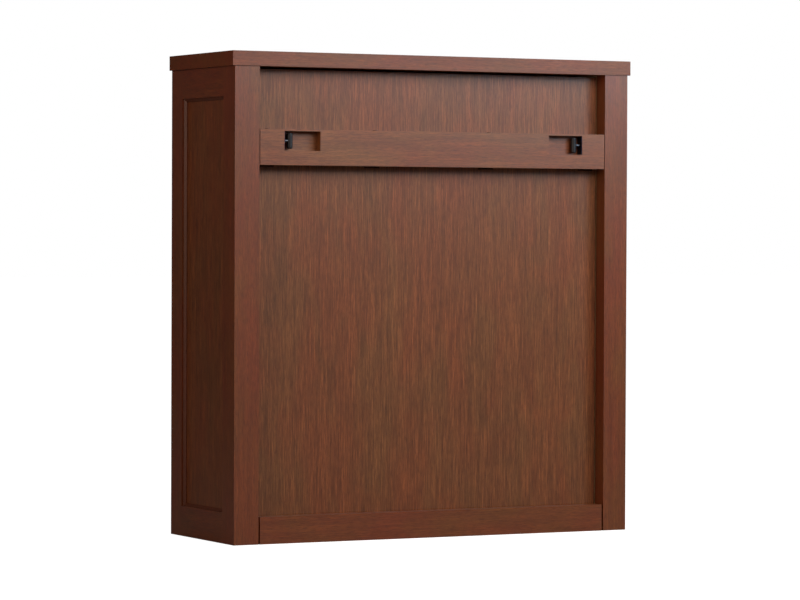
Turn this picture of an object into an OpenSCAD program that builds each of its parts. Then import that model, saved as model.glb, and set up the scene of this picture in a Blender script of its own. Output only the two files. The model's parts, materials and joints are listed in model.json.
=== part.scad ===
// Upright wall bed: a framed wooden cabinet, a bed that folds down out of it,
// a full-width leg board on the bed's face, two sliding bolts and two gas struts.
// Frame: X across the front, Y from front to back, Z up. The origin is on the floor,
// at the middle of the outline.

/* [Cabinet] */
// Width over the sides, without the cap's overhang
body_w = 2060; // [2040:10:2120]
// Depth of the sides from the post fronts to the back
body_d = 700; // [690:5:760]
// Height over the cap
body_h = 2235; // [2220:5:2260]
// Thickness of the top cap
cap_t = 67; // [55:1:68]
// Overhang of the cap past each side
cap_side = 13; // [5:1:30]
// Overhang of the cap past the post fronts
cap_front = 6; // [0:1:20]
// Width of each front post
post_w = 123; // [118:1:128]
// Height of the kick rail at the foot of the front
kick_h = 124; // [90:1:130]
// Gap at each end of the kick rail
kick_gap = 8; // [3:1:12]

/* [Framed sides] */
// Thickness of the side frames
side_frame_t = 38; // [34:1:42]
// Depth of the front post along the side
front_stile_d = 125; // [110:1:140]
// Depth of the rear stile
rear_stile_d = 120; // [100:1:140]
// Height of the side's top rail
side_top_h = 136; // [110:1:160]
// Height of the side's bottom rail
side_bottom_h = 140; // [110:1:160]
// How far the side panel lies behind the frame's outer face
panel_inset = 21; // [18:1:22]
// Leg of the bead strip's section
bead = 14; // [10:1:16]

/* [Bed] */
// Width of the mattress
mattress_w = 1524; // [1500:1:1530]
// Thickness of the mattress
mattress_t = 253; // [200:1:255]
// Number of slats
slat_count = 14; // [8:1:18]
// Height of the bed's side rails
rail_h = 150; // [140:1:155]
// Width of the mattress straps' webbing
strap_w = 50; // [30:1:60]

/* [Leg board] */
// Depth of the recess that the leg board fills
reveal = 78; // [76:1:80]
// Height of the leg board's lower edge above the floor
leg_z0 = 1721; // [1715:1:1725]
// Height of the leg board's upper edge above the floor
leg_z1 = 1884; // [1880:1:1886]
// Distance of each pocket's outer wall from the middle
pocket_x1 = 782; // [770:1:790]
// Distance of each pocket's inner wall from the middle
pocket_x0 = 600; // [560:1:620]
// Height of the pocket's lower wall above the floor
pocket_z0 = 1787; // [1780:1:1790]
// Height of the pocket's upper wall above the floor
pocket_z1 = 1876; // [1872:1:1877]
// Depth of the pockets from the leg board's front
pocket_d = 42; // [36:1:50]

/* [Mechanism] */
// Travel of each sliding bolt
bolt_travel = 18; // [12:1:20]
// Radius of each sliding bolt
bolt_r = 7; // [5:0.5:8]
// Radius of each latch's upright grip
grip_r = 13.5; // [10:0.5:15]
// Height of each latch's upright grip
grip_h = 72; // [50:1:78]
// Radius of the bed's pivot pins
pivot_r = 10; // [8:0.5:12]
// Distance of both strut eyes from the bed's pivot
strut_arm = 156; // [154:1:158]
// Lean of the upper strut eye from upright, in degrees
strut_lean = 18; // [17:0.5:19]

/* [Hidden] */
$fn = 48;

LEFT = -1;
RIGHT = 1;
stain = "#6b3322";
stain_dark = "#552619";
plain_wood = "#c9a77a";
steel = "silver";
black = "#151517";

// Front plane of the posts: everything below is drawn from it and moved here once
front_y = -(body_d - cap_front) / 2;
half_w = body_w / 2;
under_cap = body_h - cap_t;
opening_x = half_w - post_w;
frame_in_x = half_w - side_frame_t;
board_t = 18;
back_t = 9;
back_y = body_d - back_t - 3;
side_panel_t = 9;
groove = 10;
bead_flat = bead * 0.3;
hang_t = 28;
hang_h = 108;
hang_hole_r = 4;
hang_spacing = 406.4;
kick_t = 60;
stretcher_h = 90;

// Bed, drawn shut
panel_x = opening_x - 5;
panel_z0 = 110;
panel_z1 = under_cap - 10;
rail_t = 36;
rail_x = 842;
bed_z0 = 70;
bed_z1 = 2150;
cross_t = 24;
bed_y = reveal + board_t;
ledger = 20;
slat_t = 18;
slat_w = 90;
slat_margin = 10;
beam_w = 44;
slat_y = bed_y + 54;
mattress_y = slat_y + slat_t + 1;
mattress_z0 = bed_z0 + cross_t + 4;
mattress_z1 = bed_z1 - cross_t - 4;
mattress_r = 30;
mattress_wall = 20;
strap_t = 2;
strap_gap = 0.6;
strap_off = mattress_y + 110;
strap_on = mattress_y + 50;
strap_end = mattress_y + 22;
anchor_t = 4;
anchor_rim = 10;
anchor_drop = 6;
buckle_w = 90;
buckle_t = 8;
buckle_rim = 6;
strap_z = [mattress_z0 + 520, mattress_z1 - 520];

// Bed pivot, and the strut eyes at the same distance from it
pivot_y = 145;
pivot_z = 242;
eye_up = [pivot_y + strut_arm * sin(strut_lean), pivot_z + strut_arm * cos(strut_lean)];
eye_down = [pivot_y, pivot_z - strut_arm];
strut_shut = 2 * strut_arm * sin((90 - strut_lean) / 2);
strut_x = 875;
running = 0.05;
tube_r = 11;
tube_from = 18;
tube_to = strut_shut - 19.5;
tube_floor = 3;
rod_r = 5;
rod_from = 13;
rod_len = strut_shut - 24;
neck_r = 6;
eye_r = 11;
eye_w = 14;
stud_r = 5;
stud_boss_r = 9;
stud_disc_r = 13;
stud_tail = 3;
eye_play = 4;
pin_inset = 4;
plate_t = 4;
pivot_plate_half = [45, 80];
strut_plate_half = [34, 20];
boss_r = 18;
boss_len = 12;
disc_t = 5;
pivot_disc_r = 30;
pivot_spacer = 11;
strut_screw_dy = 22;

// Leg board and latches
leg_x = opening_x - 3.5;
leg_back = reveal - 0.4;
bolt_y = pocket_d / 2;
bolt_z = (pocket_z0 + pocket_z1) / 2;
bolt_end = leg_x - 1.5;
strike_depth = 10;
flange_t = 3;
flange_margin = 3;
grip_gap = 1;
grip_dome = 6;
grip_x = pocket_x1 - flange_t - bolt_travel - grip_gap - grip_r;
strike_t = 2;
strike_w = 30;
strike_h = 70;
strike_clear = 0.5;
hinge_r = 4;
hinge_y = leg_back - hinge_r - 0.1;
hinge_z = leg_z0 - hinge_r - 0.4;
hinge_w = 76;
hinge_pin_r = 1.5;
knuckles = 5;
knuckle_w = hinge_w / knuckles;
knuckle_clear = 0.3;
hinge_x = [-840, -300, 300, 840];
glide_x = [-850, -300, 300, 850];
leaf_t = 1.8;
leaf_h = 40;
glide_t = 3;
glide_r = 12;

screw_r = 2.5;
screw_head_r = 5;
screw_head_t = 2;
screw_depth = 12;
plate_screws = [[-30, -62], [30, -62], [-30, 62], [30, 62]];

// ---- shared shapes ----

// Box from its lowest corner a to its highest corner b
module block(a, b) { translate(a) cube(b - a); }

// Moves a shape drawn from the post fronts into the row frame
module placed() { translate([0, front_y, 0]) children(); }

// Draws a shape made for the right side on the side asked for
module on_side(side) {
    if (side == LEFT) mirror([1, 0, 0]) children();
    else children();
}

// Cylinder along +X from x0 to x1
module x_bar(x0, x1, y, z, r) {
    translate([x0, y, z]) rotate([0, 90, 0]) cylinder(h = x1 - x0, r = r);
}

// Cylinder along +Y from y0 to y1
module y_bar(y0, y1, x, z, r) {
    translate([x, y0, z]) rotate([-90, 0, 0]) cylinder(h = y1 - y0, r = r);
}

// ---- cabinet ----

module top_cap() {
    color(stain) placed()
        block([-half_w - cap_side, -cap_front, under_cap], [half_w + cap_side, body_d, body_h]);
}

// The side frame's groove for the panel
module side_panel_body() {
    block([half_w - panel_inset - side_panel_t, front_stile_d - groove, side_bottom_h - groove],
          [half_w - panel_inset, body_d - rear_stile_d + groove, under_cap - side_top_h + groove]);
}

module front_post(side) {
    color(stain) placed() on_side(side) difference() {
        union() {
            block([opening_x, 0, 0], [half_w, reveal, under_cap]);
            block([frame_in_x, 0, 0], [half_w, front_stile_d, under_cap]);
        }
        side_panel_body();
        strike_body(0);
        x_bar(opening_x - 1, opening_x + bolt_travel + strike_depth, bolt_y, bolt_z, bolt_r + strike_clear);
    }
}

module rear_stile(side) {
    color(stain) placed() on_side(side) difference() {
        block([frame_in_x, body_d - rear_stile_d, 0], [half_w, body_d, under_cap]);
        side_panel_body();
    }
}

module side_rail(side, z0, z1) {
    color(stain) placed() on_side(side) difference() {
        block([frame_in_x, front_stile_d, z0], [half_w, body_d - rear_stile_d, z1]);
        side_panel_body();
    }
}

module side_top_rail(side) { side_rail(side, under_cap - side_top_h, under_cap); }
module side_bottom_rail(side) { side_rail(side, 0, side_bottom_h); }

module side_panel(side) {
    color(stain) placed() on_side(side) side_panel_body();
}

// Bead section: a square with its outer corner cut off, its two flat legs on the panel and frame
function bead_section() = [[0, 0], [bead, 0], [bead, bead_flat], [bead_flat, bead], [0, bead]];

// Upright bead strip in the corner at y, with its legs running towards +Y or -Y
module upright_bead(y, towards, z0, z1) {
    translate([half_w - panel_inset, y, z0])
        linear_extrude(z1 - z0)
        polygon([for (p = bead_section()) [p[0], p[1] * towards]]);
}

// Level bead strip in the corner at z, with its legs running towards +Z or -Z
module level_bead(z, towards, y0, y1) {
    translate([half_w - panel_inset, y1, z]) rotate([90, 0, 0])
        linear_extrude(y1 - y0)
        polygon([for (p = bead_section()) [p[0], p[1] * towards]]);
}

module panel_bead(side) {
    y0 = front_stile_d;
    y1 = body_d - rear_stile_d;
    z0 = side_bottom_h;
    z1 = under_cap - side_top_h;
    color(stain_dark) placed() on_side(side) {
        upright_bead(y0, 1, z0, z1);
        upright_bead(y1, -1, z0, z1);
        level_bead(z0, 1, y0 + bead, y1 - bead);
        level_bead(z1, -1, y0 + bead, y1 - bead);
    }
}

module liner(side) {
    color(plain_wood) placed() on_side(side) difference() {
        block([opening_x, reveal, 0], [opening_x + board_t, back_y, under_cap]);
        x_bar(opening_x - 1, opening_x + board_t + 1, pivot_y, pivot_z, pivot_r + 1);
        plate_screw_set(1);
    }
}

module back_panel() {
    color(plain_wood) placed() difference() {
        block([-frame_in_x, back_y, 0], [frame_in_x, back_y + back_t, under_cap]);
        hang_holes();
    }
}

module hang_holes() {
    for (i = [-1.5:1:1.5])
        y_bar(back_y - hang_t - 1, body_d + 1, i * hang_spacing, under_cap - hang_h / 2, hang_hole_r);
}

module hang_rail() {
    color(plain_wood) placed() difference() {
        block([-opening_x, back_y - hang_t, under_cap - hang_h], [opening_x, back_y, under_cap]);
        hang_holes();
    }
}

module rear_base_rail() {
    color(plain_wood) placed()
        block([-opening_x, back_y - hang_t, 0], [opening_x, back_y, hang_h]);
}

module front_stretcher() {
    color(plain_wood) placed()
        block([-opening_x, kick_t, 0], [opening_x, reveal, stretcher_h]);
}

module kick_rail() {
    color(stain) placed()
        block([-opening_x + kick_gap, 0, 0], [opening_x - kick_gap, kick_t, kick_h]);
}

// One screw along +X from the plates' face, with its head sunk in the plate; reach draws its bore proud
module x_screw(y, z, reach) {
    face = opening_x - plate_t;
    x_bar(face - reach, opening_x + screw_depth, y, z, screw_r);
    x_bar(face - reach, face + screw_head_t, y, z, screw_head_r);
}

// Screws of the pivot plate and of the strut anchor
module plate_screw_set(reach) {
    for (s = plate_screws) x_screw(pivot_y + s[0], pivot_z + s[1], reach);
    for (s = [-1, 1]) x_screw(eye_up[0] + s * strut_screw_dy, eye_up[1], reach);
}

module pivot_plate(side) {
    color(steel) placed() on_side(side) difference() {
        union() {
            block([opening_x - plate_t, pivot_y - pivot_plate_half[0], pivot_z - pivot_plate_half[1]],
                  [opening_x, pivot_y + pivot_plate_half[0], pivot_z + pivot_plate_half[1]]);
            x_bar(opening_x - plate_t - boss_len, opening_x - plate_t, pivot_y, pivot_z, boss_r);
        }
        x_bar(opening_x - plate_t - boss_len - 1, opening_x + 1, pivot_y, pivot_z, pivot_r + running);
        plate_screw_set(1);
    }
}

module strut_anchor(side) {
    color(steel) placed() on_side(side) difference() {
        union() {
            block([opening_x - plate_t, eye_up[0] - strut_plate_half[0], eye_up[1] - strut_plate_half[1]],
                  [opening_x, eye_up[0] + strut_plate_half[0], eye_up[1] + strut_plate_half[1]]);
            x_bar(strut_x - eye_w / 2 - stud_tail, opening_x - plate_t, eye_up[0], eye_up[1], stud_r);
            x_bar(strut_x + eye_w / 2 + eye_play, opening_x - plate_t, eye_up[0], eye_up[1], stud_boss_r);
        }
        plate_screw_set(1);
    }
}

module strike_body(bore_r) {
    difference() {
        block([opening_x, bolt_y - strike_w / 2, bolt_z - strike_h / 2],
              [opening_x + strike_t, bolt_y + strike_w / 2, bolt_z + strike_h / 2]);
        if (bore_r > 0) x_bar(opening_x - 1, opening_x + strike_t + 1, bolt_y, bolt_z, bore_r);
    }
}

module strike_plates() {
    color(black) placed()
        for (side = [LEFT, RIGHT]) on_side(side) strike_body(bolt_r + strike_clear);
}

module cabinet_screws() {
    color(steel) placed() for (side = [LEFT, RIGHT]) on_side(side) plate_screw_set(0);
}

// ---- bed ----

module face_panel() {
    color(stain) placed() difference() {
        block([-panel_x, reveal, panel_z0], [panel_x, bed_y, panel_z1]);
        for (x = hinge_x)
            block([x - hinge_w / 2, reveal - 1, hinge_z],
                  [x + hinge_w / 2, reveal + leaf_t, hinge_z + leaf_h]);
    }
}

module bed_rail(side) {
    color(plain_wood) placed() on_side(side) difference() {
        block([rail_x - rail_t, bed_y, bed_z0], [rail_x, bed_y + rail_h, bed_z1]);
        x_bar(rail_x - rail_t - 1, rail_x + 1, pivot_y, pivot_z, pivot_r);
        x_bar(rail_x - rail_t - 1, rail_x + 1, eye_down[0], eye_down[1], stud_r);
    }
}

module cross_rail(z) {
    color(plain_wood) placed()
        block([-rail_x + rail_t, bed_y, z], [rail_x - rail_t, bed_y + rail_h, z + cross_t]);
}

module head_rail() { cross_rail(bed_z0); }
module foot_rail() { cross_rail(bed_z1 - cross_t); }

module bed_ledger(side) {
    color(plain_wood) placed() on_side(side)
        block([rail_x - rail_t - ledger, slat_y - ledger, bed_z0 + cross_t],
              [rail_x - rail_t, slat_y, bed_z1 - cross_t]);
}

module centre_beam() {
    color(plain_wood) placed()
        block([-beam_w / 2, bed_y, bed_z0 + cross_t], [beam_w / 2, slat_y, bed_z1 - cross_t]);
}

module bed_slats() {
    first = mattress_z0 + slat_margin;
    pitch = (mattress_z1 - mattress_z0 - 2 * slat_margin - slat_w) / (slat_count - 1);
    color(plain_wood) placed() for (i = [0 : slat_count - 1])
        block([-rail_x + rail_t + 1, slat_y, first + i * pitch],
              [rail_x - rail_t - 1, slat_y + slat_t, first + i * pitch + slat_w]);
}

// Mattress section across the bed: a rectangle with round corners
module mattress_section(grow) {
    x = mattress_w / 2 + grow;
    r = mattress_r + grow;
    y0 = mattress_y - grow;
    y1 = mattress_y + mattress_t + grow;
    translate([-x + r, y0]) square([2 * x - 2 * r, y1 - y0]);
    translate([-x, y0 + r]) square([2 * x, y1 - y0 - 2 * r]);
    for (cx = [-x + r, x - r], cy = [y0 + r, y1 - r])
        translate([cx, cy]) circle(r = r);
}

// Closed shell: its wall holds the mass of the springs and padding
module mattress() {
    color("#e4ded2") placed() difference() {
        translate([0, 0, mattress_z0])
            linear_extrude(mattress_z1 - mattress_z0) mattress_section(0);
        translate([0, 0, mattress_z0 + mattress_wall])
            linear_extrude(mattress_z1 - mattress_z0 - 2 * mattress_wall) mattress_section(-mattress_wall);
    }
}

// Half of a strap's side run: off the mattress side at strap_off, down to the rail's inner face
module strap_tail() {
    x_mat = mattress_w / 2 + strap_gap;
    x_rail = rail_x - rail_t;
    polygon([[x_mat, strap_off + 1], [x_mat + strap_t, strap_off + 1], [x_mat + strap_t, strap_off],
             [x_rail, strap_on], [x_rail, strap_end], [x_rail - strap_t, strap_end],
             [x_rail - strap_t, strap_on], [x_mat, strap_off]]);
}

// Webbing strap over the mattress, held at both ends on the inner faces of the bed rails
module strap(z) {
    color("#3a3b40") placed() translate([0, 0, z]) linear_extrude(strap_w) {
        difference() {
            mattress_section(strap_gap + strap_t);
            mattress_section(strap_gap);
            translate([-mattress_w, 0]) square([2 * mattress_w, strap_off]);
        }
        for (side = [0, 1]) mirror([side, 0]) strap_tail();
    }
}

module upper_strap() { strap(strap_z[1]); }
module lower_strap() { strap(strap_z[0]); }

// A slide buckle on top of each strap and a plate over each of its ends
module strap_fittings() {
    top = mattress_y + mattress_t + strap_gap + strap_t;
    color(black) placed() for (z = strap_z) {
        block([-buckle_w / 2, top, z - buckle_rim],
              [buckle_w / 2, top + buckle_t, z + strap_w + buckle_rim]);
        for (side = [LEFT, RIGHT]) on_side(side)
            block([rail_x - rail_t - strap_t - anchor_t, strap_end, z - anchor_rim],
                  [rail_x - rail_t - strap_t, strap_on - anchor_drop, z + strap_w + anchor_rim]);
    }
}

module pivot_pin(side) {
    color(steel) placed() on_side(side) {
        x_bar(rail_x - rail_t + pin_inset, opening_x + board_t - pin_inset, pivot_y, pivot_z, pivot_r);
        x_bar(rail_x, rail_x + disc_t, pivot_y, pivot_z, pivot_disc_r);
        x_bar(rail_x + disc_t, rail_x + disc_t + pivot_spacer, pivot_y, pivot_z, boss_r);
    }
}

module strut_stud(side) {
    color(steel) placed() on_side(side) {
        x_bar(rail_x - rail_t + pin_inset, strut_x + eye_w / 2 + stud_tail,
              eye_down[0], eye_down[1], stud_r);
        x_bar(rail_x, rail_x + disc_t, eye_down[0], eye_down[1], stud_disc_r);
        x_bar(rail_x + disc_t, strut_x - eye_w / 2 - eye_play, eye_down[0], eye_down[1], stud_boss_r);
    }
}

// ---- leg hinges ----

// Ends of knuckle i of the hinge at x
function knuckle_x0(x, i) = x - hinge_w / 2 + i * knuckle_w + knuckle_clear;
function knuckle_x1(x, i) = x - hinge_w / 2 + (i + 1) * knuckle_w - knuckle_clear;

// Knuckles of one leaf: the even ones belong to the bed, the odd ones to the leg
module knuckle_row(x, first) {
    for (i = [first : 2 : knuckles - 1])
        x_bar(knuckle_x0(x, i), knuckle_x1(x, i), hinge_y, hinge_z, hinge_r);
}

module knuckle_bore(x, r) {
    x_bar(x - hinge_w / 2 - 1, x + hinge_w / 2 + 1, hinge_y, hinge_z, r);
}

module leg_hinge_fixed_leaves() {
    color(steel) placed() for (x = hinge_x) difference() {
        union() {
            block([x - hinge_w / 2, reveal, hinge_z], [x + hinge_w / 2, reveal + leaf_t, hinge_z + leaf_h]);
            knuckle_row(x, 0);
            for (i = [0 : 2 : knuckles - 1])
                block([knuckle_x0(x, i), hinge_y, hinge_z],
                      [knuckle_x1(x, i), reveal, hinge_z + hinge_r]);
        }
        knuckle_bore(x, hinge_pin_r);
    }
}

module leg_hinge_pins() {
    color(steel) placed() for (x = hinge_x) knuckle_bore(x, hinge_pin_r);
}

module leg_hinge_moving_leaves() {
    color(steel) placed() for (x = hinge_x) difference() {
        union() {
            knuckle_row(x, 1);
            for (i = [1 : 2 : knuckles - 1])
                block([knuckle_x0(x, i), hinge_y, hinge_z], [knuckle_x1(x, i), leg_back, leg_z0]);
            block([x - hinge_w / 2, leg_back - leaf_t, leg_z0],
                  [x + hinge_w / 2, leg_back, hinge_z + leaf_h]);
        }
        knuckle_bore(x, hinge_pin_r + running);
    }
}

// ---- leg board ----

// Front layer of the leg board, with the pockets and the bolts' bores through it
module leg_beam() {
    color(stain) placed() difference() {
        block([-leg_x, 0, leg_z0], [leg_x, pocket_d, leg_z1]);
        for (side = [LEFT, RIGHT]) on_side(side) {
            block([pocket_x0, -1, pocket_z0], [pocket_x1, pocket_d + 1, pocket_z1]);
            x_bar(pocket_x1 - 1, leg_x + 1, bolt_y, bolt_z, bolt_r + running);
        }
    }
}

// Back layer, which closes the pockets and carries the hinges
module leg_backing() {
    color(stain) placed() difference() {
        block([-leg_x, pocket_d, leg_z0], [leg_x, leg_back, leg_z1]);
        for (x = hinge_x)
            block([x - hinge_w / 2, leg_back - leaf_t, leg_z0 - 1],
                  [x + hinge_w / 2, reveal, hinge_z + leaf_h]);
    }
}

module leg_glides() {
    color(black) placed() for (x = glide_x)
        translate([x, leg_back / 2, leg_z1]) cylinder(h = glide_t, r = glide_r);
}

// Plate on the pocket's outer wall that guides the bolt
module latch_flange(side) {
    color(black) placed() on_side(side) difference() {
        block([pocket_x1 - flange_t, flange_margin, pocket_z0 + flange_margin],
              [pocket_x1, pocket_d - flange_margin, pocket_z1 - flange_margin]);
        x_bar(pocket_x1 - flange_t - 1, pocket_x1 + 1, bolt_y, bolt_z, bolt_r + running);
    }
}

module latch_bolt(side) {
    color(steel) placed() on_side(side)
        x_bar(grip_x, bolt_end, bolt_y, bolt_z, bolt_r);
}

// Upright grip on the bolt's inner end: a round bar with domed ends, bored for the bolt
module latch_grip(side) {
    color(black) placed() on_side(side) difference() {
        translate([grip_x, bolt_y, bolt_z - grip_h / 2]) rotate_extrude() {
            square([grip_r - grip_dome, grip_h]);
            translate([0, grip_dome]) square([grip_r, grip_h - 2 * grip_dome]);
            for (z = [grip_dome, grip_h - grip_dome]) translate([grip_r - grip_dome, z])
                intersection() {
                    circle(r = grip_dome);
                    translate([0, -grip_dome]) square(2 * grip_dome);
                }
        }
        x_bar(grip_x, grip_x + grip_r + 1, bolt_y, bolt_z, bolt_r);
    }
}

// ---- gas struts ----

// Draws a strut piece along +Z from an eye at the origin, and lays it on the strut's line
module along_strut(side, eye, other) {
    lean = atan2(other[0] - eye[0], other[1] - eye[1]);
    color(black) placed() on_side(side)
        translate([strut_x, eye[0], eye[1]]) rotate([-lean, 0, 0]) children();
}

module strut_eye() { rotate([0, 90, 0]) cylinder(h = eye_w, r = eye_r, center = true); }
module strut_eye_bore() { rotate([0, 90, 0]) cylinder(h = eye_w + 2, r = stud_r + running, center = true); }

module strut_tube(side) {
    along_strut(side, eye_up, eye_down) difference() {
        union() {
            strut_eye();
            cylinder(h = tube_from + 1, r = neck_r);
            translate([0, 0, tube_from]) cylinder(h = tube_to - tube_from, r = tube_r);
        }
        strut_eye_bore();
        translate([0, 0, tube_from + tube_floor]) cylinder(h = tube_to, r = rod_r + running);
    }
}

module strut_rod(side) {
    along_strut(side, eye_down, eye_up) difference() {
        union() {
            strut_eye();
            cylinder(h = rod_from + 1, r = neck_r);
            translate([0, 0, rod_from]) cylinder(h = rod_len - rod_from, r = rod_r);
        }
        strut_eye_bore();
    }
}

top_cap();
front_post(LEFT);  // left_front_post
front_post(RIGHT);  // right_front_post
rear_stile(LEFT);  // left_rear_stile
rear_stile(RIGHT);  // right_rear_stile
side_top_rail(LEFT);  // left_side_top_rail
side_top_rail(RIGHT);  // right_side_top_rail
side_bottom_rail(LEFT);  // left_side_bottom_rail
side_bottom_rail(RIGHT);  // right_side_bottom_rail
side_panel(LEFT);  // left_side_panel
side_panel(RIGHT);  // right_side_panel
panel_bead(LEFT);  // left_panel_bead
panel_bead(RIGHT);  // right_panel_bead
liner(LEFT);  // left_liner
liner(RIGHT);  // right_liner
back_panel();
hang_rail();
rear_base_rail();
front_stretcher();
kick_rail();
pivot_plate(LEFT);  // left_pivot_plate
pivot_plate(RIGHT);  // right_pivot_plate
strut_anchor(LEFT);  // left_strut_anchor
strut_anchor(RIGHT);  // right_strut_anchor
strike_plates();
cabinet_screws();
face_panel();
bed_rail(LEFT);  // left_bed_rail
bed_rail(RIGHT);  // right_bed_rail
head_rail();
foot_rail();
bed_ledger(LEFT);  // left_ledger
bed_ledger(RIGHT);  // right_ledger
centre_beam();
bed_slats();
mattress();
upper_strap();
lower_strap();
strap_fittings();
pivot_pin(LEFT);  // left_pivot_pin
pivot_pin(RIGHT);  // right_pivot_pin
strut_stud(LEFT);  // left_strut_stud
strut_stud(RIGHT);  // right_strut_stud
leg_hinge_fixed_leaves();
leg_hinge_pins();
leg_beam();
leg_backing();
leg_hinge_moving_leaves();
leg_glides();
latch_flange(LEFT);  // left_latch_flange
latch_flange(RIGHT);  // right_latch_flange
latch_bolt(LEFT);  // left_latch_bolt
latch_grip(LEFT);  // left_latch_grip
latch_bolt(RIGHT);  // right_latch_bolt
latch_grip(RIGHT);  // right_latch_grip
strut_tube(LEFT);  // left_strut_tube
strut_rod(LEFT);  // left_strut_rod
strut_tube(RIGHT);  // right_strut_tube
strut_rod(RIGHT);  // right_strut_rod
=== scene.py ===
import json
import math

import bmesh
import bpy
from mathutils import Matrix, Vector


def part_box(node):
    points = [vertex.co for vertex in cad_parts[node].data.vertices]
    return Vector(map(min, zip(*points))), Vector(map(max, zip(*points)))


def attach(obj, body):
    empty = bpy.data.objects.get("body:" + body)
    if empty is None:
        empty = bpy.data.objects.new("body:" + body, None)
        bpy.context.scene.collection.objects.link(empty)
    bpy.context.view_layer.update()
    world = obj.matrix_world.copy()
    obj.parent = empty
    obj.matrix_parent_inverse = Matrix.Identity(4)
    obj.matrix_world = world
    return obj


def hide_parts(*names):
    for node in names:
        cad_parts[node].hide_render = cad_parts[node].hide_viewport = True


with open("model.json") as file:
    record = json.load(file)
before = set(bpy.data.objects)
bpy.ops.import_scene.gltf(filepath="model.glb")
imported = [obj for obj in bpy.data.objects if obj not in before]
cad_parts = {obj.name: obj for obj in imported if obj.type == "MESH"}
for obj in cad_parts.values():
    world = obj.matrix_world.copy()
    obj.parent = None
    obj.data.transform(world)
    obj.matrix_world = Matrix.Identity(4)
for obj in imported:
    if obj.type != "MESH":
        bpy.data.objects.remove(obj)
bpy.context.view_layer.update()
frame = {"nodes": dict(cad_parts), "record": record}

NODES = frame["nodes"]
SLOTS = {part["node"]: part["material_slot"] for part in frame["record"]["subparts"]}


# ---- node tree helpers ----

def new_material(name):
    mat = bpy.data.materials.new(name)
    mat.use_nodes = True
    mat.node_tree.nodes.clear()
    return mat


def node(tree, kind, **inputs):
    made = tree.nodes.new(kind)
    for key, value in inputs.items():
        made.inputs[key.replace("_", " ")].default_value = value
    return made


def principled(mat, rough, metal=0.0, specular=0.5, coat=0.0, coat_rough=0.1, sheen=0.0):
    tree = mat.node_tree
    shader = tree.nodes.new("ShaderNodeBsdfPrincipled")
    shader.inputs["Roughness"].default_value = rough
    shader.inputs["Metallic"].default_value = metal
    shader.inputs["Specular IOR Level"].default_value = specular
    shader.inputs["Coat Weight"].default_value = coat
    shader.inputs["Coat Roughness"].default_value = coat_rough
    shader.inputs["Sheen Weight"].default_value = sheen
    out = tree.nodes.new("ShaderNodeOutputMaterial")
    tree.links.new(shader.outputs["BSDF"], out.inputs["Surface"])
    return shader


def coords(tree, scale):
    """Object coordinates, in metres in the row frame, scaled per axis."""
    place = tree.nodes.new("ShaderNodeTexCoord")
    mapping = tree.nodes.new("ShaderNodeMapping")
    mapping.inputs["Scale"].default_value = scale
    tree.links.new(place.outputs["Object"], mapping.inputs["Vector"])
    return mapping.outputs["Vector"]


def noise(tree, scale, detail=2.0, rough=0.5, distortion=0.0):
    tex = tree.nodes.new("ShaderNodeTexNoise")
    tex.inputs["Scale"].default_value = 1.0
    tex.inputs["Detail"].default_value = detail
    tex.inputs["Roughness"].default_value = rough
    tex.inputs["Distortion"].default_value = distortion
    tree.links.new(coords(tree, scale), tex.inputs["Vector"])
    return tex.outputs["Fac"]


def ramp(tree, value, stops):
    """stops: (position, grey level or colour)"""
    made = tree.nodes.new("ShaderNodeValToRGB")
    while len(made.color_ramp.elements) < len(stops):
        made.color_ramp.elements.new(0.5)
    for element, (position, colour) in zip(made.color_ramp.elements, stops):
        element.position = position
        if not isinstance(colour, tuple):
            colour = (colour, colour, colour)
        element.color = (*colour, 1.0)
    tree.links.new(value, made.inputs["Fac"])
    return made.outputs["Color"]


def blend_colours(tree, factor, first, second, mode="MIX"):
    """factor, first and second are each a socket or a constant."""
    mix = tree.nodes.new("ShaderNodeMix")
    mix.data_type = "RGBA"
    mix.blend_type = mode
    for socket, value in ((mix.inputs[0], factor), (mix.inputs[6], first), (mix.inputs[7], second)):
        if isinstance(value, bpy.types.NodeSocket):
            tree.links.new(value, socket)
        elif isinstance(value, tuple):
            socket.default_value = (*value, 1.0)
        else:
            socket.default_value = value
    return mix.outputs[2]


def add_bump(tree, shader, height, strength, distance):
    bump = tree.nodes.new("ShaderNodeBump")
    bump.inputs["Strength"].default_value = strength
    bump.inputs["Distance"].default_value = distance
    tree.links.new(height, bump.inputs["Height"])
    tree.links.new(bump.outputs["Normal"], shader.inputs["Normal"])


def along(grain, across, lengthwise):
    """Texture scale per axis: lengthwise along the grain axis, across on the other two."""
    return tuple(lengthwise if axis == grain else across for axis in "XYZ")


# ---- wood ----

DEEP = (0.050, 0.010, 0.004)
RED = (0.215, 0.045, 0.012)
OLIVE = (0.200, 0.057, 0.012)
BAND_RED = (0.225, 0.055, 0.014)
BAND_OLIVE = (0.235, 0.078, 0.018)
# The beads' darker tones are painted shade for the recess between bead and stile, not a different stain
BEAD_RED_PAINTED_SHADE = (0.150, 0.034, 0.010)
BEAD_OLIVE_PAINTED_SHADE = (0.140, 0.038, 0.010)
VENEER_RED = (0.225, 0.062, 0.018)
VENEER_OLIVE = (0.200, 0.069, 0.020)

# Fineness of each layer of the grain, as texture scale across the grain and along it
PATCHES = (6.0, 2.2)
MOTTLES = (38.0, 1.3)
STREAKS = (230.0, 6.0)
PORES = (720.0, 26.0)
GROWTH = (26.0, 1.1)
FIBRES = (420.0, 16.0)
PORE_DEPTH = 0.0002


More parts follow.
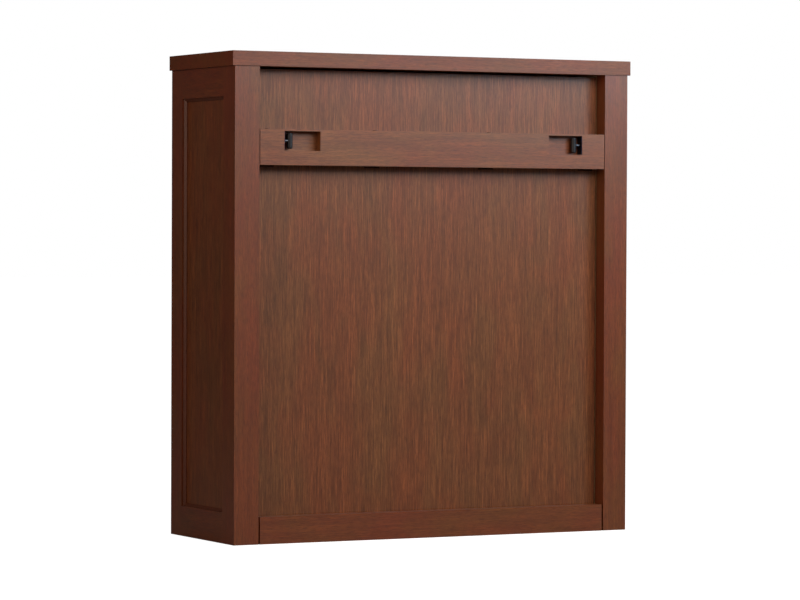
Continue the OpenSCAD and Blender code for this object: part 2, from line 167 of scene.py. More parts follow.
def stained_wood(name, grain, red, olive, streaks, mottling, rough=0.42, coat=0.15):
    """Dark stained wood: fine pores, streaks along the grain, and broad patches of
    redder and browner tone. streaks and mottling say how strongly the tone varies."""
    mat = new_material(name)
    tree = mat.node_tree
    shader = principled(mat, rough, coat=coat, coat_rough=0.32)
    patches = ramp(tree, noise(tree, along(grain, *PATCHES), 3.0, 0.55, 0.4), [(0.36, 0.0), (0.64, 1.0)])
    tone = blend_colours(tree, patches, red, olive)
    broad = ramp(tree, noise(tree, along(grain, *MOTTLES), 3.0, 0.6),
                 [(0.3, 1 - mottling), (0.7, 1 + mottling)])
    tone = blend_colours(tree, 1.0, tone, broad, "MULTIPLY")
    lines = ramp(tree, noise(tree, along(grain, *STREAKS), 1.5, 0.5),
                 [(0.32, 1 - 0.6 * streaks), (0.5, 1.0), (0.72, 1 + 1.3 * streaks)])
    tone = blend_colours(tree, 1.0, tone, lines, "MULTIPLY")
    pores = ramp(tree, noise(tree, along(grain, *PORES), 2.0, 0.7), [(0.40, 0.0), (0.52, 1.0)])
    tone = blend_colours(tree, pores, blend_colours(tree, 0.55, tone, DEEP), tone)
    tree.links.new(tone, shader.inputs["Base Color"])
    add_bump(tree, shader, pores, 0.25, PORE_DEPTH)
    return mat


def frame_wood(grain):
    """Posts, stiles and rails."""
    return stained_wood("stained_wood_" + grain, grain, RED, OLIVE, 0.18, 0.13, coat=0.35)


def cap_wood():
    """The top cap, with a duller finish than the posts."""
    return stained_wood("stained_cap", "X", RED, OLIVE, 0.18, 0.13, rough=0.48, coat=0.12)


def band_wood():
    """The leg board: browner and more figured than the posts."""
    return stained_wood("stained_band", "X", BAND_RED, BAND_OLIVE, 0.22, 0.16, coat=0.45)


def bead_wood_painted_shade():
    """The bead strips: plainer than the frames round them, and darker, which is painted shade standing in for
    the shadowed recess between bead and stile.
    """
    return stained_wood("stained_bead_painted_shade", "Z", BEAD_RED_PAINTED_SHADE, BEAD_OLIVE_PAINTED_SHADE, 0.10, 0.10, rough=0.5, coat=0.1)


def veneer():
    """The bed's face panel and the side panels, with strong upright streaks."""
    return stained_wood("veneer", "Z", VENEER_RED, VENEER_OLIVE, 0.42, 0.15)


def plain_board(name, grain, light, dark, rough=0.55):
    """Clear-sealed board: pale wood with soft growth lines and fine pores."""
    mat = new_material(name)
    tree = mat.node_tree
    shader = principled(mat, rough, coat=0.08, coat_rough=0.3)
    growth = ramp(tree, noise(tree, along(grain, *GROWTH), 4.0, 0.55, 0.8), [(0.34, dark), (0.62, light)])
    fine = ramp(tree, noise(tree, along(grain, *FIBRES), 2.0, 0.6), [(0.3, 0.84), (0.6, 1.0)])
    tone = blend_colours(tree, 1.0, growth, fine, "MULTIPLY")
    tree.links.new(tone, shader.inputs["Base Color"])
    add_bump(tree, shader, fine, 0.2, PORE_DEPTH)
    return mat


# ---- metal and plastic ----

def metal(name, colour, rough, scratch=0.05, metallic=1.0):
    """Metal with fine wear in its tone."""
    mat = new_material(name)
    tree = mat.node_tree
    shader = principled(mat, rough, metal=metallic)
    wear = ramp(tree, noise(tree, (90.0, 90.0, 90.0), 4.0, 0.6), [(0.3, 1 - scratch), (0.7, 1 + scratch)])
    tree.links.new(blend_colours(tree, 1.0, colour, wear, "MULTIPLY"), shader.inputs["Base Color"])
    return mat


def painted(name, colour, rough, coat=0.0, grit=900.0, depth=0.00006):
    """Paint or moulded plastic with a faint grain."""
    mat = new_material(name)
    tree = mat.node_tree
    shader = principled(mat, rough, coat=coat, coat_rough=0.06)
    speck = noise(tree, (grit, grit, grit), 2.0, 0.5)
    wear = ramp(tree, speck, [(0.3, 0.88), (0.7, 1.12)])
    tree.links.new(blend_colours(tree, 1.0, colour, wear, "MULTIPLY"), shader.inputs["Base Color"])
    add_bump(tree, shader, speck, 0.2, depth)
    return mat


# ---- fabric ----

# A wave texture of scale 1 repeats every this many metres
WAVE_LENGTH = 0.314


def woven(name, light, dark, thread, rough=0.85, sheen=0.25, depth=0.0003):
    """Plain weave: two crossed sets of threads, thread metres apart, lifted by a bump."""
    mat = new_material(name)
    tree = mat.node_tree
    shader = principled(mat, rough, specular=0.25, sheen=sheen)
    waves = []
    for axis in "XZ":
        wave = tree.nodes.new("ShaderNodeTexWave")
        wave.bands_direction = axis
        wave.inputs["Scale"].default_value = 1.0
        wave.inputs["Distortion"].default_value = 0.4
        wave.inputs["Detail"].default_value = 1.0
        tree.links.new(coords(tree, (WAVE_LENGTH / thread,) * 3), wave.inputs["Vector"])
        waves.append(wave.outputs["Fac"])
    weave = blend_colours(tree, 0.5, waves[0], waves[1])
    fluff = ramp(tree, noise(tree, (60.0, 60.0, 60.0), 4.0, 0.6), [(0.3, 0.93), (0.7, 1.04)])
    tone = blend_colours(tree, weave, dark, light)
    tree.links.new(blend_colours(tree, 1.0, tone, fluff, "MULTIPLY"), shader.inputs["Base Color"])
    add_bump(tree, shader, weave, 0.5, depth)
    return mat


# ---- which piece gets which material ----

BOARD_LIGHT, BOARD_DARK = (0.56, 0.40, 0.24), (0.44, 0.29, 0.16)


def make_materials():
    return {
        "wood_X": frame_wood("X"),
        "wood_Y": frame_wood("Y"),
        "wood_Z": frame_wood("Z"),
        "cap": cap_wood(),
        "band": band_wood(),
        "bead": bead_wood_painted_shade(),
        "veneer": veneer(),
        "board_X": plain_board("inner_board_across", "X", BOARD_LIGHT, BOARD_DARK),
        "board_Z": plain_board("inner_board_upright", "Z", BOARD_LIGHT, BOARD_DARK),
        "slat": plain_board("slat_wood", "X", (0.68, 0.52, 0.33), (0.55, 0.39, 0.22)),
        "zinc": metal("zinc_steel", (0.56, 0.56, 0.55), 0.32),
        "dark_steel": metal("blackened_steel", (0.075, 0.078, 0.088), 0.3),
        # Latch flange: dark steel, with its blue tint a painted cool sheen rather than a blued finish
        "flange": metal("latch_flange_painted_blue_sheen", (0.028, 0.032, 0.060), 0.38, 0.1),
        "chrome": metal("piston_chrome", (0.74, 0.74, 0.75), 0.10, 0.02),
        "bronze": metal("hinge_bronze", (0.060, 0.026, 0.016), 0.4),
        "black_metal": painted("black_metal", (0.018, 0.018, 0.020), 0.42, 0.1),
        "gloss": painted("grip_gloss", (0.006, 0.006, 0.009), 0.42, 0.12, 40.0, 0.0),
        "strut": painted("strut_black", (0.014, 0.014, 0.015), 0.28, 0.3),
        "plastic": painted("glide_plastic", (0.095, 0.030, 0.014), 0.5),
        "webbing": woven("webbing", (0.060, 0.062, 0.070), (0.012, 0.012, 0.014), 0.0016, 0.8, 0.1),
        "ticking": woven("mattress_ticking", (0.80, 0.77, 0.70), (0.66, 0.62, 0.55), 0.0018),
        "piping": woven("mattress_piping", (0.55, 0.50, 0.42), (0.42, 0.38, 0.31), 0.0012),
    }


BY_SLOT = {
    "stained_wood": "wood_Z", "veneer_panel": "veneer", "inner_board": "board_Z",
    "slat_wood": "slat", "webbing": "webbing", "mattress_ticking": "ticking",
    "glide_plastic": "plastic", "black_metal": "black_metal", "grip_gloss": "gloss",
    "strut_black": "strut", "piston_chrome": "chrome", "zinc_steel": "zinc",
}
BY_NODE = {
    "top_cap": "cap", "kick_rail": "wood_X", "leg_beam": "band",
    "left_side_top_rail": "wood_Y", "right_side_top_rail": "wood_Y",
    "left_side_bottom_rail": "wood_Y", "right_side_bottom_rail": "wood_Y",
    "left_panel_bead": "bead", "right_panel_bead": "bead",
    "hang_rail": "board_X", "rear_base_rail": "board_X", "front_stretcher": "board_X",
    "head_rail": "board_X", "foot_rail": "board_X", "leg_backing": "band",
    "left_latch_bolt": "dark_steel", "right_latch_bolt": "dark_steel",
    "left_latch_flange": "flange", "right_latch_flange": "flange",
    "leg_hinge_fixed_leaves": "bronze", "leg_hinge_moving_leaves": "bronze", "leg_hinge_pins": "bronze",
}
# Width of the rounded edges in metres, by node, or else by material slot
EASED = {
    "top_cap": 0.0035, "left_front_post": 0.005, "right_front_post": 0.005,
    "leg_beam": 0.0015, "leg_backing": 0.0008, "kick_rail": 0.003, "face_panel": 0.001,
    "left_panel_bead": 0.0012, "right_panel_bead": 0.0012,
    "left_latch_grip": 0.0, "right_latch_grip": 0.0,
}
EASE_BY_SLOT = {
    "stained_wood": 0.002, "veneer_panel": 0.0006, "inner_board": 0.0015, "slat_wood": 0.003,
    "zinc_steel": 0.0005, "black_metal": 0.0004, "glide_plastic": 0.0006, "strut_black": 0.0006,
    "piston_chrome": 0.0004,
}
EASE_SEGMENTS = 3
EASE_ABOVE_DEGREES = 40


def ease_edges(obj, width):
    bevel = obj.modifiers.new("eased_edges", "BEVEL")
    bevel.width = width
    bevel.segments = EASE_SEGMENTS
    bevel.limit_method = "ANGLE"
    bevel.angle_limit = math.radians(EASE_ABOVE_DEGREES)
    bevel.harden_normals = True


def finish_cad_nodes(mats):
    """Gives each CAD node its material and slightly rounded edges."""
    for name, obj in NODES.items():
        mat = mats[BY_NODE.get(name, BY_SLOT[SLOTS[name]])]
        obj.data.materials.clear()
        obj.data.materials.append(mat)
        width = EASED.get(name, EASE_BY_SLOT.get(SLOTS[name], 0.0))
        if width:
            ease_edges(obj, width)


# ---- pieces ----

def piece(name, mesh, mat, body, smooth=True):
    """A new object made of mesh, riding on body if one is named."""
    obj = bpy.data.objects.new(name, mesh)
    bpy.context.scene.collection.objects.link(obj)
    mesh.materials.append(mat)
    for face in mesh.polygons:
        face.use_smooth = smooth
    if body:
        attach(obj, body)
    return obj


def mesh_from(name, verts, faces):
    mesh = bpy.data.meshes.new(name)
    mesh.from_pydata([tuple(v) for v in verts], [], faces)
    mesh.update()
    return mesh


def sharpen(mesh, degrees):
    """Keeps edges that turn by this angle or more crisp under smooth shading."""
    bm = bmesh.new()
    bm.from_mesh(mesh)
    for edge in bm.edges:
        edge.smooth = edge.calc_face_angle(0.0) < math.radians(degrees)
    bm.to_mesh(mesh)
    bm.free()


class Builder:
    """Gathers simple solids into one mesh."""

    def __init__(self):
        self.verts = []
        self.faces = []

    def add(self, verts, faces):
        first = len(self.verts)
        self.verts += [Vector(v) for v in verts]
        self.faces += [tuple(first + i for i in face) for face in faces]

    def block(self, low, high, ease=0.001):
        """Box whose edges are rounded by ease."""
        bm = bmesh.new()
        size = Vector(high) - Vector(low)
        middle = (Vector(high) + Vector(low)) / 2
        place = Matrix.Translation(middle) @ Matrix.Diagonal((*size, 1.0))
        bmesh.ops.create_cube(bm, size=1.0, matrix=place)
        bmesh.ops.bevel(bm, geom=bm.edges, offset=ease, segments=2, affect="EDGES", profile=0.5)
        bm.verts.index_update()
        self.add([v.co.copy() for v in bm.verts], [[v.index for v in f.verts] for f in bm.faces])
        bm.free()

    def lathe(self, at, axis, profile, sides=20):
        """Turns (radius, height) points round axis, with heights measured from at."""
        axis = Vector(axis).normalized()
        across = axis.orthogonal().normalized()
        other = axis.cross(across)
        verts, faces = [], []
        for radius, height in profile:
            for i in range(sides):
                angle = 2 * math.pi * i / sides
                out = across * math.cos(angle) + other * math.sin(angle)
                verts.append(Vector(at) + axis * height + out * radius)
        for ring in range(len(profile) - 1):
            for i in range(sides):
                j = (i + 1) % sides
                a, b = ring * sides, (ring + 1) * sides
                faces.append((a + i, a + j, b + j, b + i))
        faces.append(tuple(range(sides))[::-1])
        faces.append(tuple((len(profile) - 1) * sides + i for i in range(sides)))
        self.add(verts, faces)

    def screw(self, at, axis, radius, proud):
        """Flat-topped screw head with a round socket, standing proud of the surface at."""
        sunk, shoulder = -0.0004, proud * 0.4
        flat, mouth, floor = radius * 0.82, radius * 0.42, radius * 0.36
        bottom = proud * 0.9 - radius * 0.4
        self.lathe(at, axis, [(radius, sunk), (radius, shoulder), (flat, proud),
                              (mouth, proud), (floor, bottom)])

    def band(self, path, normals, width_axis, width, thick, start):
        """Flat strap: path runs along its middle, width lies along width_axis from start."""
        verts, faces = [], []
        for point, normal in zip(path, normals):
            for side, level in ((0, -1), (1, -1), (1, 1), (0, 1)):
                shift = Vector(width_axis) * (start + side * width)
                verts.append(Vector(point) + shift + Vector(normal) * (level * thick / 2))
        for ring in range(len(path) - 1):
            for i in range(4):
                j = (i + 1) % 4
                a, b = ring * 4, (ring + 1) * 4
                faces.append((a + i, a + j, b + j, b + i))
        last = (len(path) - 1) * 4
        faces += [(3, 2, 1, 0), (last, last + 1, last + 2, last + 3)]
        self.add(verts, faces)

    def loop_tube(self, path, radius, sides=10):
        """Closed tube along a loop that lies in a plane of constant Y."""
        verts, faces = [], []
        count = len(path)
        for i, point in enumerate(path):
            along_path = (path[(i + 1) % count] - path[i - 1]).normalized()
            out = along_path.cross(Vector((0, 1, 0))).normalized()
            for k in range(sides):
                angle = 2 * math.pi * k / sides
                up = Vector((0, radius * math.sin(angle), 0))
                verts.append(point + out * (radius * math.cos(angle)) + up)
        for i in range(count):
            for k in range(sides):
                a, b = i * sides, ((i + 1) % count) * sides
                faces.append((a + k, a + (k + 1) % sides, b + (k + 1) % sides, b + k))
        self.add(verts, faces)

    def finish(self, name, mat, body, sharp=35.0):
        """Turns what was gathered into a piece on body, crisp at edges sharper than sharp degrees."""
        mesh = mesh_from(name, self.verts, self.faces)
        bm = bmesh.new()
        bm.from_mesh(mesh)
        bmesh.ops.recalc_face_normals(bm, faces=bm.faces)
        bm.to_mesh(mesh)
        bm.free()
        obj = piece(name, mesh, mat, body)
        sharpen(mesh, sharp)
        return obj


# ---- mattress ----

# Size of a lattice cell, and the quilting's spacing in cells
CELL = 0.02
QUILT = 8
# How far the padding may rise, and how far the seams lie inside the CAD solid to leave room for it
PUFF = 0.008
SEAM_SINK = 0.009
SIDE_SINK = 0.007
CORNER_R = 0.06
PRESSURE = 4.0
STIFFNESS = 8.0
PIPING_R = 0.0045
HANDLE_LENGTH = 0.22
HANDLE_WIDTH = 0.030
HANDLE_THICK = 0.002
HANDLE_LIFT = 0.010
HANDLE_OUT = 0.006
HANDLE_FROM_END = 0.88
HANDLE_STEPS = 24
# Share of the handle's length that is sewn down at each end
HANDLE_SEWN = 0.12


def lattice_box(low, high):
    """Evenly divided closed box with round plan corners.
    Returns its vertices, its faces and each vertex's lattice place."""
    counts = [max(4, round((high[a] - low[a]) / CELL)) for a in range(3)]
    nx, ny, nz = counts
    where, verts, cells, faces = {}, [], [], []

    def vertex(i, j, k):
        if (i, j, k) not in where:
            where[i, j, k] = len(verts)
            cells.append((i, j, k))
            verts.append(round_corner(i / nx, j / ny, k / nz, low, high))
        return where[i, j, k]

    for i in range(nx):
        for k in range(nz):
            for j, flip in ((0, False), (ny, True)):
                face = [vertex(i, j, k), vertex(i + 1, j, k), vertex(i + 1, j, k + 1), vertex(i, j, k + 1)]
                faces.append(face[::-1] if flip else face)
    for j in range(ny):
        for i in range(nx):
            for k, flip in ((0, True), (nz, False)):
                face = [vertex(i, j, k), vertex(i + 1, j, k), vertex(i + 1, j + 1, k), vertex(i, j + 1, k)]
                faces.append(face[::-1] if flip else face)
        for k in range(nz):
            for i, flip in ((0, True), (nx, False)):
                face = [vertex(i, j, k), vertex(i, j + 1, k), vertex(i, j + 1, k + 1), vertex(i, j, k + 1)]
                faces.append(face[::-1] if flip else face)
    return verts, faces, cells, counts


def round_corner(u, v, w, low, high):
    """Point of the box at fractions u, v, w, with the square plan corner mapped to a quarter disc."""
    half_x, half_z = (high[0] - low[0]) / 2, (high[2] - low[2]) / 2
    x, z = (2 * u - 1) * half_x, (2 * w - 1) * half_z
    over_x, over_z = abs(x) - (half_x - CORNER_R), abs(z) - (half_z - CORNER_R)
    if over_x > 0 and over_z > 0:
        a, b = over_x / CORNER_R, over_z / CORNER_R
        over_x, over_z = CORNER_R * a * math.sqrt(1 - b * b / 2), CORNER_R * b * math.sqrt(1 - a * a / 2)
        x = math.copysign(half_x - CORNER_R + over_x, x)
        z = math.copysign(half_z - CORNER_R + over_z, z)
    middle_x, middle_z = (low[0] + high[0]) / 2, (low[2] + high[2]) / 2
    return Vector((middle_x + x, low[1] + v * (high[1] - low[1]), middle_z + z))


def held_down(cell, counts):
    """True on the border seams and on the diamond quilting lines."""
    i, j, k = cell
    nx, ny, nz = counts
    if j not in (0, ny):
        return False
    on_rim = i in (0, nx) or k in (0, nz)
    return on_rim or (i + k) % QUILT == 0 or (i - k) % QUILT == 0


def inflate(obj, pinned, frames=20):
    """Blows the sewn cover up with cloth pressure, holding its seams, and caps how far it moves."""
    group = obj.vertex_groups.new(name="seams")
    group.add(pinned, 1.0, "REPLACE")
    before = [v.co.copy() for v in obj.data.vertices]
    cloth = obj.modifiers.new("cloth", "CLOTH")
    cloth.settings.quality = 4
    cloth.settings.mass = 0.3
    cloth.settings.tension_stiffness = STIFFNESS
    cloth.settings.compression_stiffness = STIFFNESS
    cloth.settings.bending_stiffness = 0.3
    cloth.settings.vertex_group_mass = "seams"
    cloth.settings.use_pressure = True
    cloth.settings.uniform_pressure_force = PRESSURE
    cloth.settings.effector_weights.gravity = 0.0
    cloth.point_cache.frame_start = 1
    cloth.point_cache.frame_end = frames
    scene = bpy.context.scene
    scene.frame_start, scene.frame_end = 1, frames
    for step in range(1, frames + 1):
        scene.frame_set(step)
    shaped = obj.evaluated_get(bpy.context.evaluated_depsgraph_get())
    after = [v.co.copy() for v in shaped.to_mesh().vertices]
    shaped.to_mesh_clear()
    obj.modifiers.clear()
    obj.vertex_groups.clear()
    scene.frame_set(1)
    for vertex, old, new in zip(obj.data.vertices, before, after):
        step = new - old
        if step.length > PUFF:
            step *= PUFF / step.length
        vertex.co = old + step
    obj.data.update()


def make_mattress(mats):
    """Quilted mattress with piped seams and webbing handles, in the space of its CAD solid."""
    low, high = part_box("mattress")
    low = Vector(low) + Vector((SIDE_SINK, SEAM_SINK, SIDE_SINK))
    high = Vector(high) - Vector((SIDE_SINK, SEAM_SINK, SIDE_SINK))
    verts, faces, cells, counts = lattice_box(low, high)
    mattress = piece("quilted_mattress", mesh_from("quilted_mattress", verts, faces), mats["ticking"], None)
    inflate(mattress, [n for n, cell in enumerate(cells) if held_down(cell, counts)])
    mattress.modifiers.new("smooth", "SUBSURF").levels = 1
    mattress.modifiers["smooth"].render_levels = 1
    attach(mattress, "bed")
    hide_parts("mattress")
    make_piping(mats, low, high, counts)
    make_handles(mats, low, high)


def make_piping(mats, low, high, counts):
    """Corded edge along both seams between the panels and the border."""
    nx, _, nz = counts
    rim = ([(i, 0) for i in range(nx)] + [(nx, k) for k in range(nz)]
           + [(i, nz) for i in range(nx, 0, -1)] + [(0, k) for k in range(nz, 0, -1)])
    cord = Builder()
    for v in (0.0, 1.0):
        cord.loop_tube([round_corner(i / nx, v, k / nz, low, high) for i, k in rim], PIPING_R)
    tape = cord.finish("mattress_piping", mats["piping"], "bed", 80.0)


def make_handles(mats, low, high):
    """Two webbing handles on each long border."""
    straps = Builder()
    middle_y = (low[1] + high[1]) / 2
    sewn_x = high[0] + HANDLE_OUT
    for side in (-1, 1):
        for z in (low[2] + HANDLE_FROM_END, high[2] - HANDLE_FROM_END):
            path = []
            for step in range(HANDLE_STEPS + 1):
                t = step / HANDLE_STEPS
                arch = 0.0
                if HANDLE_SEWN < t < 1 - HANDLE_SEWN:
                    arch = HANDLE_LIFT * min(1.0, math.sin(math.pi * t) * 1.6)
                path.append(Vector((side * (sewn_x + arch), middle_y, z + (t - 0.5) * HANDLE_LENGTH)))
            normals = [Vector((side, 0, 0))] * len(path)
            straps.band(path, normals, (0, 1, 0), HANDLE_WIDTH, HANDLE_THICK, -HANDLE_WIDTH / 2)
    handles = straps.finish("mattress_handles", mats["piping"], "bed", 60.0)


# ---- straps ----

STRAP_THICK = 0.002
# Clearance between the mattress's CAD solid and the strap, and the radius of that solid's edges
STRAP_CLEAR = 0.0006
MATTRESS_EDGE_R = 0.03
STRAP_ON_RAIL = 0.026
# Heights on the mattress's side between which the strap comes to lie against it
STRAP_NEAR, STRAP_LIES = 0.108, 0.114
STRAP_TURN_STEPS = 8
# The free tail past the buckle, as (x, height above the strap)
TAIL = ((-0.200, 0.0022), (-0.060, 0.0024), (-0.030, 0.0040), (-0.008, 0.0062),
        (0.008, 0.0062), (0.026, 0.0036), (0.034, 0.0022))


def strap_path(low):
    """Half of the strap's middle line in the XY plane, from the rail to the centre of the bed."""
    rail_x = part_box("right_bed_rail")[0][0] - STRAP_THICK / 2
    mat_low, mat_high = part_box("mattress")
    off = STRAP_CLEAR + STRAP_THICK / 2
    side_x = mat_high[0] + off
    top_y = mat_high[1] + off
    round_r = MATTRESS_EDGE_R + off
    points = [(rail_x, low[1]), (rail_x, low[1] + STRAP_ON_RAIL), (side_x + 0.001, mat_low[1] + STRAP_NEAR),
              (side_x, mat_low[1] + STRAP_LIES), (side_x, top_y - round_r)]
    for step in range(1, STRAP_TURN_STEPS + 1):
        angle = math.radians(90 * step / STRAP_TURN_STEPS)
        points.append((side_x - round_r * (1 - math.cos(angle)), top_y - round_r * (1 - math.sin(angle))))
    points.append((0.0, top_y))
    return points


def make_strap(name, cad_name, mats):
    """Webbing strap over the mattress from rail to rail, with its tail lying on top."""
    low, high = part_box(cad_name)
    half = strap_path(low)
    full = half + [(-x, y) for x, y in reversed(half[:-1])]
    path = [Vector((x, y, 0)) for x, y in full]
    normals = []
    for i in range(len(path)):
        run = path[min(i + 1, len(path) - 1)] - path[max(i - 1, 0)]
        normals.append(Vector((run.y, -run.x, 0)).normalized())
    strap = Builder()
    width = high[2] - low[2]
    strap.band(path, normals, (0, 0, 1), width, STRAP_THICK, low[2])
    top = path[len(half) - 1].y
    tail = [Vector((x, top + lift, 0)) for x, lift in TAIL]
    strap.band(tail, [Vector((0, 1, 0))] * len(tail), (0, 0, 1), width - 0.002, 0.0018, low[2] + 0.001)
    made = strap.finish(name, mats["webbing"], "bed", 50.0)
    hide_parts(cad_name)


BUCKLE_HALF = 0.045
BUCKLE_RIM = 0.006
BUCKLE_END = 0.007
PLATE_THICK = 0.004
PLATE_RISE = 0.022
PLATE_RIM = 0.010


def make_strap_hardware(mats):
    """Slide buckles on top of the straps, and screwed plates over their ends."""
    low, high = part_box("strap_fittings")
    metal_parts, screws = Builder(), Builder()
    rail_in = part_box("right_bed_rail")[0][0]
    for name in ("upper_strap", "lower_strap"):
        z0, z1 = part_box(name)[0][2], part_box(name)[1][2]
        y0, y1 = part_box(name)[1][1], high[1]
        for z in (z0 - BUCKLE_RIM, z1):
            metal_parts.block((-BUCKLE_HALF, y0, z), (BUCKLE_HALF, y1 - 0.001, z + BUCKLE_RIM), 0.0015)
        for x in (-BUCKLE_HALF, BUCKLE_HALF - BUCKLE_END):
            metal_parts.block((x, y0 + 0.003, z0 - 0.002), (x + BUCKLE_END, y1 - 0.0005, z1 + 0.002), 0.0015)
        metal_parts.block((-0.004, y0 + 0.0006, z0 - 0.002), (0.004, y0 + 0.0032, z1 + 0.002), 0.0008)
        for side in (-1, 1):
            inner = (rail_in - STRAP_THICK) * side
            face = inner - PLATE_THICK * side
            x0, x1 = sorted((inner, face))
            metal_parts.block((x0, low[1], z0 - PLATE_RIM), (x1, low[1] + PLATE_RISE, z1 + PLATE_RIM), 0.0008)
            for z in (z0 - 0.004, z1 + 0.004):
                screws.screw((face, low[1] + PLATE_RISE / 2, z), (-side, 0, 0), 0.0036, 0.0012)
    frames = metal_parts.finish("strap_buckles", mats["black_metal"], "bed")
    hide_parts("strap_fittings")
    heads = screws.finish("strap_plate_screws", mats["zinc"], "bed")


# ---- small hardware ----

# Hinge places along the leg board, and each leaf's screws as (offset, height above the board's edge)
HINGE_X = (-0.84, -0.30, 0.30, 0.84)
LEAF_SCREWS = ((-0.028, 0.026), (-0.010, 0.012), (0.010, 0.012), (0.028, 0.026))
BACK_SCREWS = 9
BACK_SCREW_IN = 0.055


def make_latch_screws(mats):
    """Four screws on each latch flange."""
    for side, word in ((-1, "left"), (1, "right")):
        low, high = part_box(word + "_latch_flange")
        face = low[0] if side > 0 else high[0]
        heads = Builder()
        for y in (low[1] + 0.006, high[1] - 0.006):
            for z in (low[2] + 0.007, high[2] - 0.007):
                heads.screw((face, y, z), (-side, 0, 0), 0.003, 0.0009)
        made = heads.finish(word + "_latch_flange_screws", mats["dark_steel"], "leg")


def make_hinge_screws(mats):
    """Countersunk screws in both leaves of the leg board's hinges."""
    panel_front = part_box("face_panel")[0][1]
    board_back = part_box("leg_backing")[1][1]
    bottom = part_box("leg_backing")[0][2]
    fixed, moving = Builder(), Builder()
    for x in HINGE_X:
        for dx, dz in LEAF_SCREWS:
            fixed.screw((x + dx, panel_front, bottom + dz), (0, -1, 0), 0.0032, 0.0001)
            moving.screw((x + dx, board_back, bottom + dz), (0, 1, 0), 0.0032, 0.0001)
    for made in (fixed.finish("hinge_screws_panel", mats["bronze"], "bed"),
                 moving.finish("hinge_screws_leg", mats["bronze"], "leg")):
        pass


def make_back_screws(mats):
    """Screws along the edges of the back panel."""
    low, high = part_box("back_panel")
    left, right = low[0] + BACK_SCREW_IN, high[0] - BACK_SCREW_IN
    bottom, top = low[2] + 0.06, high[2] - 0.06
    places = [(x, bottom + step * (top - bottom) / (BACK_SCREWS - 1))
              for step in range(BACK_SCREWS) for x in (left, right)]
    places += [(left + (step + 0.5) * (right - left) / BACK_SCREWS, z)
               for step in range(BACK_SCREWS) for z in (low[2] + 0.05, high[2] - 0.02)]
    heads = Builder()
    for x, z in places:
        heads.screw((x, high[1], z), (0, 1, 0), 0.0042, 0.0012)
    made = heads.finish("back_panel_screws", mats["zinc"], "cabinet")


# ---- stage, light and camera ----

FLOOR_HALF = 80.0
LENS = 162.42
CAMERA_AT = (-7.8894, -15.1250, 1.4379)
YAW, PITCH, ROLL = 0.4804, -0.01998, 0.00383

# Name, place, point it faces, size, watts and colour
LIGHTS = (
    ("high_front_softbox", (2.2, -3.8, 4.1), (0.3, -0.3, 1.3), (3.6, 2.8), 175.0, (0.84, 0.92, 1.0)),
    ("front_fill", (0.2, -6.0, 4.4), (0.0, -0.3, 1.0), (3.0, 2.0), 112.0, (1.0, 0.87, 0.73)),
    ("left_fill", (-5.0, -2.5, 3.0), (-1.0, 0.0, 1.1), (2.5, 2.5), 72.0, (1.0, 0.76, 0.62)),
    ("right_window", (3.1, -3.7, 3.0), (0.6, -0.3, 1.9), (1.3, 1.3), 32.0, (0.50, 0.76, 1.0)),
    ("rear_fill", (3.2, 5.5, 3.6), (0.2, 0.3, 1.0), (3.0, 3.0), 130.0, (1.0, 0.98, 0.95)),
)


def add_area(name, at, aim, size, power, colour):
    data = bpy.data.lights.new(name, "AREA")
    data.shape = "RECTANGLE"
    data.size, data.size_y = size
    data.energy = power
    data.color = colour
    obj = bpy.data.objects.new(name, data)
    obj.location = at
    obj.visible_camera = False
    obj.rotation_euler = (Vector(aim) - Vector(at)).to_track_quat("-Z", "Y").to_euler()
    bpy.context.scene.collection.objects.link(obj)


def add_world():
    """A dim world for the object, seen as plain white by the camera."""
    world = bpy.data.worlds.new("studio")
    bpy.context.scene.world = world
    world.use_nodes = True
    tree = world.node_tree
    tree.nodes.clear()
    light = node(tree, "ShaderNodeBackground", Color=(1.0, 0.99, 0.98, 1.0), Strength=0.05)
    seen = node(tree, "ShaderNodeBackground", Color=(1.0, 1.0, 1.0, 1.0), Strength=1.0)
    ray = tree.nodes.new("ShaderNodeLightPath")
    mix = tree.nodes.new("ShaderNodeMixShader")
    out = tree.nodes.new("ShaderNodeOutputWorld")
    tree.links.new(ray.outputs["Is Camera Ray"], mix.inputs[0])
    tree.links.new(light.outputs[0], mix.inputs[1])
    tree.links.new(seen.outputs[0], mix.inputs[2])
    tree.links.new(mix.outputs[0], out.inputs["Surface"])


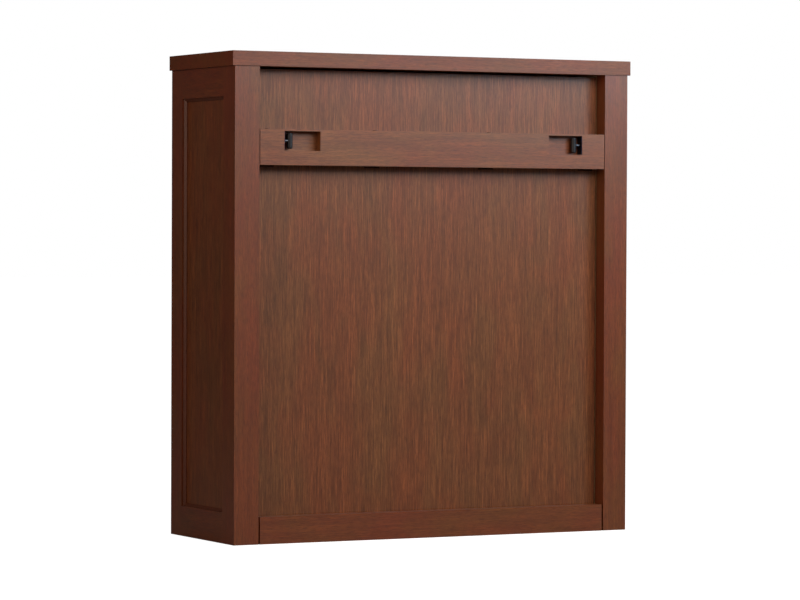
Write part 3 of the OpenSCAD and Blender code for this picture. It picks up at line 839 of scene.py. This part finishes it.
def add_floor():
    """Pale studio floor: grey to the object, and as white as the background to the camera."""
    mat = new_material("studio_floor")
    shader = principled(mat, 0.9, specular=0.1)
    shader.inputs["Base Color"].default_value = (0.25, 0.25, 0.25, 1.0)
    tree = mat.node_tree
    glow = node(tree, "ShaderNodeEmission", Strength=1.0)
    ray = tree.nodes.new("ShaderNodeLightPath")
    both = tree.nodes.new("ShaderNodeAddShader")
    mix = tree.nodes.new("ShaderNodeMixShader")
    out = next(n for n in tree.nodes if n.type == "OUTPUT_MATERIAL")
    tree.links.new(shader.outputs[0], both.inputs[0])
    tree.links.new(glow.outputs[0], both.inputs[1])
    tree.links.new(ray.outputs["Is Camera Ray"], mix.inputs[0])
    tree.links.new(shader.outputs[0], mix.inputs[1])
    tree.links.new(both.outputs[0], mix.inputs[2])
    tree.links.new(mix.outputs[0], out.inputs["Surface"])
    corners = [(x * FLOOR_HALF, y * FLOOR_HALF, 0) for x, y in ((-1, -1), (1, -1), (1, 1), (-1, 1))]
    mesh = mesh_from("floor", corners, [(0, 1, 2, 3)])
    floor = piece("floor", mesh, mat, None, smooth=False)


def add_camera():
    """Long lens from the front left, at the photograph's viewpoint."""
    data = bpy.data.cameras.new("camera")
    data.sensor_width = 36.0
    data.lens = LENS
    data.clip_end = 500.0
    forward = Vector((math.sin(YAW) * math.cos(PITCH), math.cos(YAW) * math.cos(PITCH), math.sin(PITCH)))
    level = Vector((math.cos(YAW), -math.sin(YAW), 0.0))
    upright = level.cross(forward)
    right = level * math.cos(ROLL) + upright * math.sin(ROLL)
    up = right.cross(forward)
    camera = bpy.data.objects.new("camera", data)
    turn = Matrix((right, up, -forward)).transposed()
    camera.matrix_world = Matrix.Translation(CAMERA_AT) @ turn.to_4x4()
    bpy.context.scene.collection.objects.link(camera)
    bpy.context.scene.camera = camera


materials = make_materials()
finish_cad_nodes(materials)
make_mattress(materials)
make_strap("upper_webbing_strap", "upper_strap", materials)
make_strap("lower_webbing_strap", "lower_strap", materials)
make_strap_hardware(materials)
make_latch_screws(materials)
make_hinge_screws(materials)
make_back_screws(materials)
add_world()
add_floor()
for light in LIGHTS:
    add_area(*light)
add_camera()
bpy.context.scene.view_settings.view_transform = "Standard"
